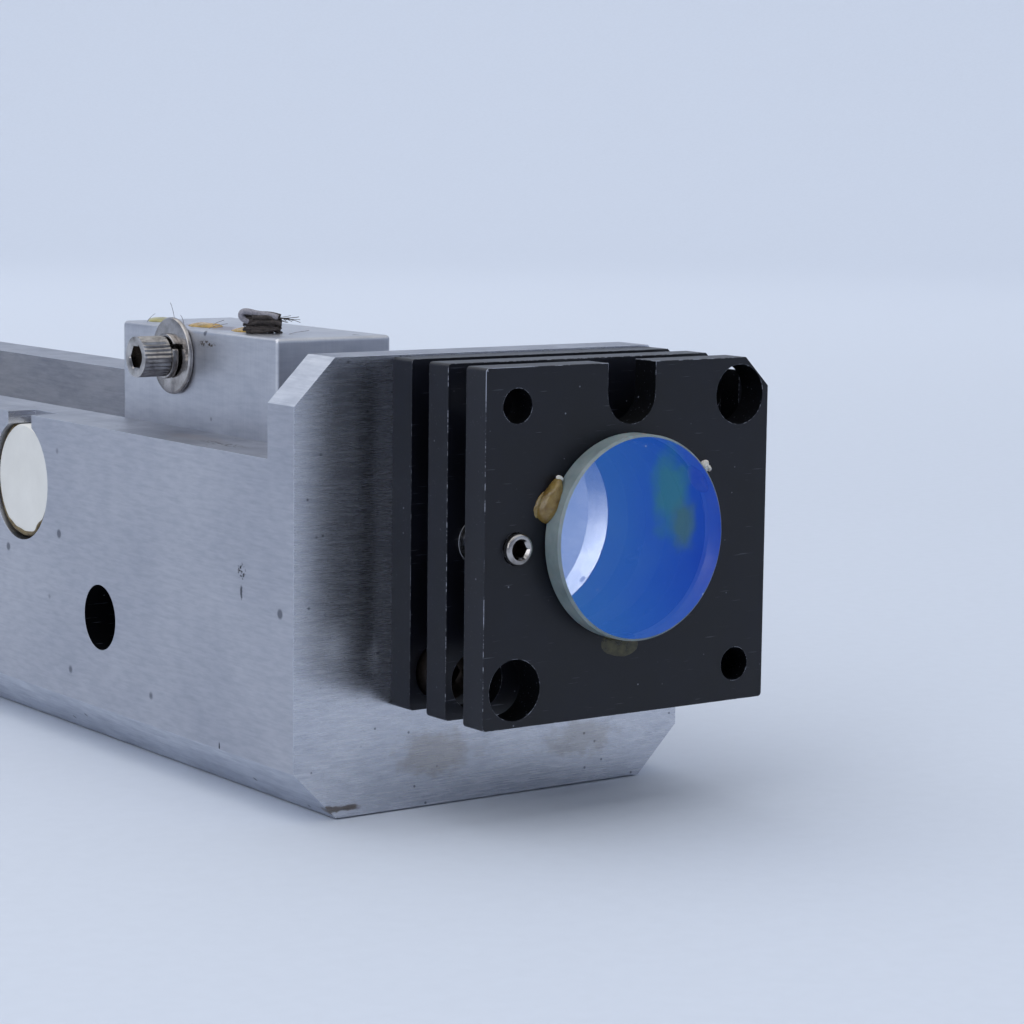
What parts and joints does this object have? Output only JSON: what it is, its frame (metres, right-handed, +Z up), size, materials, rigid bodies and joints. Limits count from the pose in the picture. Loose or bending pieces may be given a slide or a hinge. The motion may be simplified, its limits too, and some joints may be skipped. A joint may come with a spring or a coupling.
{
  "type": "spectroscope",
  "caption": "Open-channel cavity spectroscope: milled chassis with a gimbal-mounted coated front optic, side port, clamp block, far mirror and detector.",
  "frame": {"origin": "centre of the chassis base face", "axes": "+Y along the beam from the gimbal mount to the detector, +Z up, +X across to the clamp block's far side"},
  "size_m": [0.06, 0.2731, 0.0599],
  "materials": {
    "milled_aluminium": "milled, lightly worn",
    "black_anodised": "satin black anodised, bright where worn",
    "zinc_steel": "plated machine screw",
    "hardened_steel": "polished",
    "spring_steel": "drawn wire",
    "coated_optic": "polished with a blue interference coating",
    "clear_optic": "polished",
    "amber_epoxy": "cured, slightly cloudy",
    "yellow_glue": "dried beads",
    "brown_glue": "aged",
    "white_ceramic": "smooth matt",
    "grey_fibre": "frayed",
    "black_acetal": "turned",
    "piezo_ceramic": "silvered ceramic",
    "green_laminate": "solder mask",
    "black_box": "black anodised",
    "nickel_brass": "nickel plated"
  },
  "bodies": {
    "chassis": {"chassis": "milled_aluminium", "clamp_block": "milled_aluminium", "rear_plate": "black_anodised", "rear_plate_screws": "zinc_steel", "block_bolts": "zinc_steel", "sampler_bolt": "zinc_steel", "cell_screws": "zinc_steel", "case_screws": "zinc_steel", "block_screw": "zinc_steel", "flat_washer": "zinc_steel", "spring_washer": "zinc_steel", "pitch_seat": "hardened_steel", "rear_spring_pins": "hardened_steel", "far_mirror": "coated_optic", "sampler_glass": "clear_optic", "block_glue": "yellow_glue", "port_glue": "brown_glue", "port_disc": "white_ceramic", "fibre_tuft": "grey_fibre", "mirror_cell": "black_acetal", "piezo_ring": "piezo_ceramic", "detector_board": "green_laminate", "detector_case": "black_box", "photodiode": "nickel_brass", "signal_socket": "nickel_brass", "board_ring": "black_acetal", "sampler_holder": "milled_aluminium"},
    "pitch_stage": {"pitch_plate": "black_anodised", "pitch_pivot_balls": "hardened_steel", "yaw_pivot_balls": "hardened_steel", "yaw_seat": "hardened_steel", "middle_front_pins": "hardened_steel", "middle_back_pins": "hardened_steel", "pitch_springs": "spring_steel", "yaw_springs": "spring_steel"},
    "yaw_stage": {"yaw_plate": "black_anodised", "front_mirror": "coated_optic", "mirror_adhesive": "amber_epoxy", "front_spring_pins": "hardened_steel"},
    "yaw_tip": {"yaw_tip_ball": "hardened_steel"},
    "yaw_adjuster": {"yaw_screw": "zinc_steel"},
    "pitch_tip": {"pitch_tip_ball": "hardened_steel"},
    "pitch_adjuster": {"pitch_screw": "zinc_steel"}
  },
  "joints": [
    {"name": "pitch_tilt", "type": "hinge", "parent": "chassis", "child": "pitch_stage", "pos_m": [0.006, -0.11615, 0.0182], "axis": [1, 0, 0], "range_deg": [-1, 1]},
    {"name": "yaw_tilt", "type": "hinge", "parent": "pitch_stage", "child": "yaw_stage", "pos_m": [0.0243, -0.124, 0.03525], "axis": [0, 0, 1], "range_deg": [-1, 1]},
    {"name": "pitch_advance", "type": "slide", "parent": "pitch_stage", "child": "pitch_tip", "axis": [0, 1, 0], "range_m": [-0.00061, 0.00061]},
    {"name": "pitch_screw_turn", "type": "hinge", "parent": "pitch_tip", "child": "pitch_adjuster", "pos_m": [0.006, -0.1143, 0.05315], "axis": [0, 1, 0], "range_deg": [-314.02, 314.02]},
    {"name": "yaw_advance", "type": "slide", "parent": "yaw_stage", "child": "yaw_tip", "axis": [0, 1, 0], "range_m": [-0.00062, 0.00062]},
    {"name": "yaw_screw_turn", "type": "hinge", "parent": "yaw_tip", "child": "yaw_adjuster", "pos_m": [-0.0111, -0.1221, 0.03525], "axis": [0, 1, 0], "range_deg": [-318.07, 318.07]}
  ],
  "couplings": [
    {"joint": "pitch_advance", "follows": "pitch_tilt", "m_per_rad": 0.03495},
    {"joint": "pitch_screw_turn", "follows": "pitch_tilt", "ratio": 313.71},
    {"joint": "yaw_advance", "follows": "yaw_tilt", "m_per_rad": 0.0354},
    {"joint": "yaw_screw_turn", "follows": "yaw_tilt", "ratio": 317.75}
  ]
}
